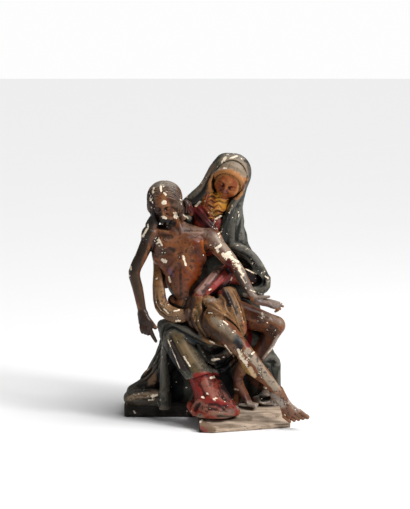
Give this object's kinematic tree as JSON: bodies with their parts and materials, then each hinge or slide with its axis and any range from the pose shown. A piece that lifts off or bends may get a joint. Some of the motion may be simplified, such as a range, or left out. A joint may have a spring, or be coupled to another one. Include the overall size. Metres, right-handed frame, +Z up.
{
  "type": "carved wood lamentation group",
  "caption": "Seated hooded mother in a long mantle holding her dead son across her lap, carved in painted wood on a low board.",
  "frame": {"origin": "middle of the board's flat underside, which is the plane Z=0", "axes": "+Z up to the top of the mother's hood, -Y towards the viewer of the group's front, +X towards the viewer's right, where the son's feet are"},
  "size_m": [0.2532, 0.1844, 0.3703],
  "materials": {
    "board_wood": "worn dark stain and paint over bare wood, satin",
    "mantle_paint": "old dark green, red and gold paint over gesso and carved wood, satin varnish, chipped",
    "flesh_paint": "old brown flesh paint over gesso and carved wood, glossy varnish, chipped"
  },
  "bodies": {
    "root": {"base": "board_wood", "mother": "mantle_paint", "son": "flesh_paint"}
  },
  "joints": []
}
